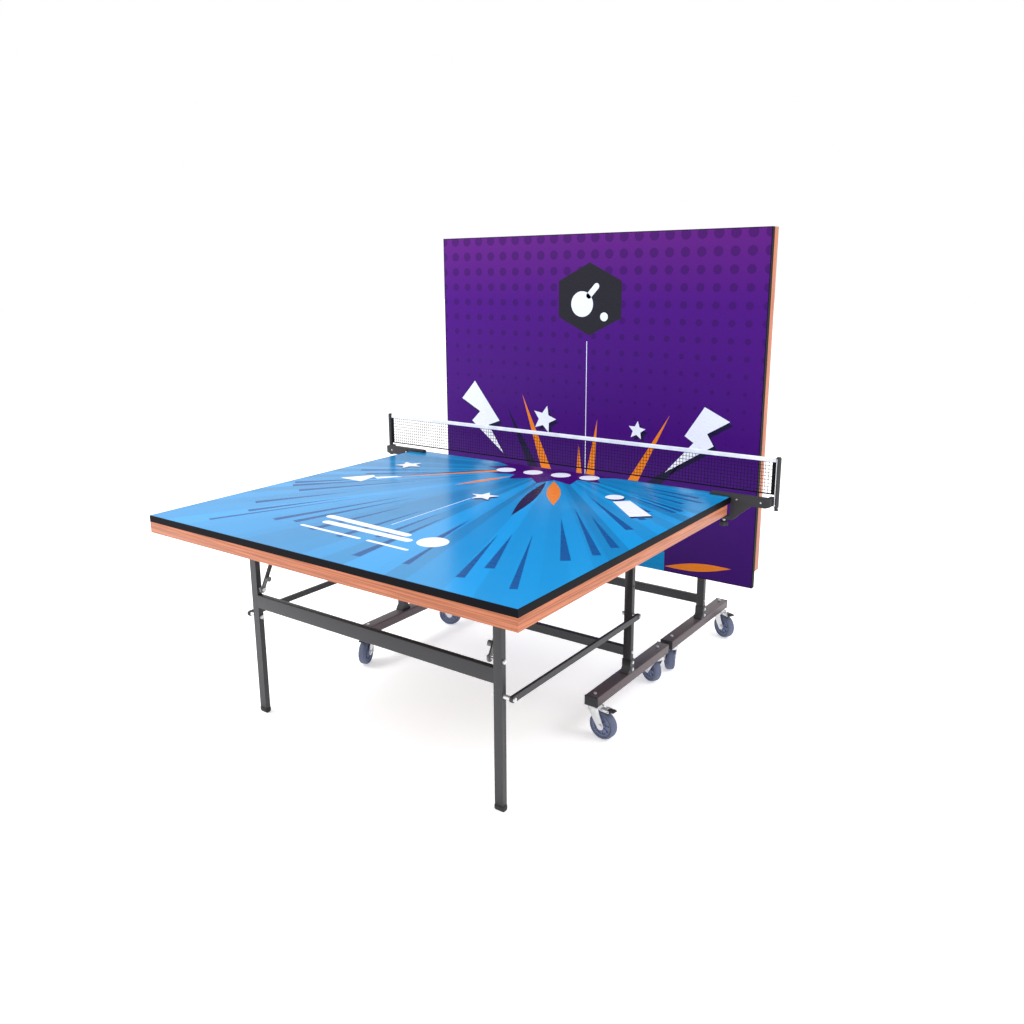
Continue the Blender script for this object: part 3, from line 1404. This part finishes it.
class TABLE_OT_clamps(bpy.types.Operator):
    """Make the net posts, their clamps, and the clamp screws with thread and lobed knob"""

    bl_idname = "pingpong.clamps"
    bl_label = "Net Posts and Clamps"

    def execute(self, context):
        softened("net_posts", "black_steel")
        softened("net_clamps", "black_plastic")
        thread = thread_tree()
        for side in ("left", "right"):
            self.make_screw(side, thread)
        self.make_grips()
        return {"FINISHED"}

    def make_screw(self, side, thread):
        """Pad, threaded rod and lobed knob in the room of the clamp screw."""
        node = f"{side}_clamp_screw"
        low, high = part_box(node)
        pad = 11 * MM
        axis = self.axis_of(node)
        place = Matrix.Translation((*axis, 0))
        shape = bmesh.new()
        top, foot = high.z, low.z
        rod, core, ease = 4.45 * MM, 0.01 * MM, 0.8 * MM
        in_knob = foot + 17 * MM
        lathe(shape, [
            (core, top), (pad - ease, top), (pad, top - ease), (pad, top - 3 * MM),
            (rod + 2 * MM, top - 5 * MM), (rod, top - 7 * MM), (rod, in_knob), (core, in_knob),
        ], 28, place)
        tidy(shape)
        attach(add_object(f"{side}_clamp_rod", shape, "zinc"), BODY_OF[node])
        self.make_knob(side, node, axis, foot)
        ridge = grown(thread, f"{side}_clamp_thread", [(*axis, foot + 20 * MM)], {
            "Radius": rod, "Pitch": 1.75 * MM, "Length": top - foot - 28 * MM, "Ridge": 0.5 * MM,
            "Material": finish("zinc"),
        }, smooth=20)
        attach(ridge, BODY_OF[node])

    def axis_of(self, node):
        """Middle of the screw's round pad."""
        points = [vertex.co for vertex in frame["nodes"][node].data.vertices]
        top = max(point.z for point in points)
        pad = [point for point in points if point.z > top - 0.1 * MM]
        return (
            (min(p.x for p in pad) + max(p.x for p in pad)) / 2,
            (min(p.y for p in pad) + max(p.y for p in pad)) / 2,
        )

    def make_knob(self, side, node, axis, foot):
        """Five-lobed knob with rounded rims."""
        shape = bmesh.new()
        rings, around = [], 60
        lobes, radius, lobe_depth = 5, 13.4, 2.4
        rows = ((0, 1.6), (0.6, 0.6), (1.8, 0), (14, 0), (15.4, 0.6), (16, 1.8), (17.5, 5))
        for height, inset in rows:
            ring = []
            for k in range(around):
                turn = 2 * math.pi * k / around
                r = (radius + lobe_depth * math.cos(lobes * turn) - inset) * MM
                ring.append(shape.verts.new((
                    axis[0] + r * math.cos(turn), axis[1] + r * math.sin(turn),
                    foot + height * MM,
                )))
            rings.append(ring)
        for here, there in zip(rings, rings[1:]):
            for k in range(around):
                j = (k + 1) % around
                shape.faces.new((here[k], here[j], there[j], there[k]))
        shape.faces.new(rings[0])
        shape.faces.new(rings[-1])
        tidy(shape)
        knob = add_object(f"{side}_clamp_knob", shape, "black_plastic")
        attach(knob, BODY_OF[node], [node])

    def make_grips(self):
        """Hexagon screws that hold each clamp's side plate."""
        low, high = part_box("net_clamps")
        points, turns = [], []
        for side in (-1, 1):
            for x in (EDGE_X + 24 * MM, high.x - 34 * MM):
                points.append((side * x, low.y + 0.2 * MM, PLAY_Z - 5 * MM))
                turns.append((math.pi / 2, 0.0, 0.0))
        values = {"Radius": 3.2 * MM, "Height": 1.6 * MM, "Material": finish("zinc")}
        screws = grown(hex_cap_tree(), "clamp_plate_screws", points, values, turns=turns)
        attach(screws, "near_top")


class TABLE_OT_net(bpy.types.Operator):
    """Make the knotted net, its black hems, and the folded white tape with its stitches"""

    bl_idname = "pingpong.net"
    bl_label = "Net and Tape"

    def execute(self, context):
        size = sizes()
        low, high = NET_LOW, NET_HIGH
        hem = 12 * MM
        width, height = high.x - low.x, high.z - low.z
        middle = Vector((0, NET_Y, (low.z + high.z) / 2))
        net = grown(net_tree(), "net_strings", [middle], {
            "Width": width - 2 * hem, "Height": height - 4 * MM, "Pitch": size.mesh_pitch,
            "String Diameter": size.string_width, "Material": finish("string"),
        })
        attach(net, "near_top", ["net"])
        hems = self.make_hems(low, high, hem)
        self.make_tape(size)
        return {"FINISHED"}

    def make_hems(self, low, high, hem):
        """Black fabric at the net's two ends and along its foot."""
        shape = bmesh.new()
        thick = 0.9 * MM
        for x0, x1, z0, z1 in (
            (low.x, low.x + hem, low.z, high.z), (high.x - hem, high.x, low.z, high.z),
            (low.x + hem, high.x - hem, low.z, low.z + 5 * MM),
        ):
            centre = Vector(((x0 + x1) / 2, NET_Y, (z0 + z1) / 2))
            scale = Matrix.Diagonal((x1 - x0, 2 * thick, z1 - z0, 1))
            made = bmesh.ops.create_cube(shape, size=1.0, matrix=Matrix.Translation(centre) @ scale)
            edges = {edge for vertex in made["verts"] for edge in vertex.link_edges}
            round_edges(shape, edges, 0.6 * MM)
        hems = add_object("net_hems", shape, "hem")
        return attach(hems, "near_top")

    def make_tape(self, size):
        """Folded tape over the top of the net: a strip bent over the cord inside it."""
        low, high = TAPE_LOW, TAPE_HIGH
        tall, radius, thick = high.z - low.z, (high.y - low.y) / 2, 0.5 * MM
        steps, along = 8, 240
        middle = radius - thick / 2
        line = [(-middle, 0.0), (-middle, (tall - radius) / 2)]
        line += [
            (-middle * math.cos(turn), tall - radius + middle * math.sin(turn))
            for turn in (math.pi * k / steps for k in range(steps + 1))
        ]
        line += [(middle, (tall - radius) / 2), (middle, 0.0)]
        shape = bmesh.new()
        rings = []
        for k in range(along + 1):
            x = low.x + (high.x - low.x) * k / along
            sway = 0.25 * MM * math.sin(k * 0.9) * math.sin(k * 0.23)
            outer, inner = [], []
            for i, (y, z) in enumerate(line):
                ahead = Vector(line[min(i + 1, len(line) - 1)]) - Vector(line[max(i - 1, 0)])
                side = Vector((-ahead.y, ahead.x)).normalized() * thick / 2
                loose = sway * max(0.0, 1 - z / tall)
                for ring, sign in ((outer, 1), (inner, -1)):
                    point = (x, NET_Y + y * 0.93 + sign * side.x + loose, low.z + z + sign * side.y)
                    ring.append(shape.verts.new(point))
            rings.append(outer + inner[::-1])
        count = len(rings[0])
        for here, there in zip(rings, rings[1:]):
            for i in range(count):
                j = (i + 1) % count
                shape.faces.new((here[i], there[i], there[j], here[j]))
        for ring in (rings[0], rings[-1]):
            for i in range(count // 2 - 1):
                shape.faces.new((ring[i], ring[i + 1], ring[count - 2 - i], ring[count - 1 - i]))
        tidy(shape)
        tape = add_object("net_tape_folded", shape, "tape", smooth=50)
        attach(tape, "near_top", ["net_tape"])
        rows = [
            (low.x + 4 * MM, NET_Y + side * (radius * 0.97), low.z + 2.5 * MM)
            for side in (-1, 1)
        ]
        seam = grown(stitch_tree(), "net_tape_stitches", rows, {
            "Length": high.x - low.x - 8 * MM, "Pitch": size.stitch, "Thread": 0.45 * MM,
            "Material": finish("tape"),
        })
        attach(seam, "near_top")


OPERATORS = (
    TABLE_OT_stage, TABLE_OT_finishes, TABLE_OT_tension_cord, TABLE_OT_near_print,
    TABLE_OT_far_print, TABLE_OT_aprons, TABLE_OT_tubes, TABLE_OT_fasteners, TABLE_OT_casters,
    TABLE_OT_clamps, TABLE_OT_net,
)


class TABLE_PT_looks(bpy.types.Panel):
    """Lists the table's pieces and their settings"""

    bl_idname = "TABLE_PT_looks"
    bl_label = "Ping Pong Table"
    bl_space_type = "VIEW_3D"
    bl_region_type = "UI"
    bl_category = "Table"

    def draw(self, context):
        scene = context.scene
        for settings in (scene.table_sizes, scene.table_colours, scene.stage_look):
            box = self.layout.box()
            for key in settings.bl_rna.properties.keys():
                if key not in {"rna_type", "name"}:
                    box.prop(settings, key)
        for operator in OPERATORS:
            self.layout.operator(operator.bl_idname)


CLASSES = (TableColours, TableSizes, StageLook, *OPERATORS, TABLE_PT_looks)


def register():
    """Registers the classes and hangs the settings on the scene."""
    for cls in CLASSES:
        bpy.utils.register_class(cls)
    bpy.types.Scene.table_colours = PointerProperty(type=TableColours)
    bpy.types.Scene.table_sizes = PointerProperty(type=TableSizes)
    bpy.types.Scene.stage_look = PointerProperty(type=StageLook)


def unregister():
    """Takes the settings off the scene and unregisters the classes."""
    del bpy.types.Scene.stage_look
    del bpy.types.Scene.table_sizes
    del bpy.types.Scene.table_colours
    for cls in reversed(CLASSES):
        bpy.utils.unregister_class(cls)


def main():
    """Makes the whole table."""
    register()
    bpy.ops.pingpong.finishes()
    bpy.ops.pingpong.stage()
    for operator in OPERATORS[2:]:
        group, name = operator.bl_idname.split(".")
        getattr(getattr(bpy.ops, group), name)()


if __name__ == "__main__":
    main()
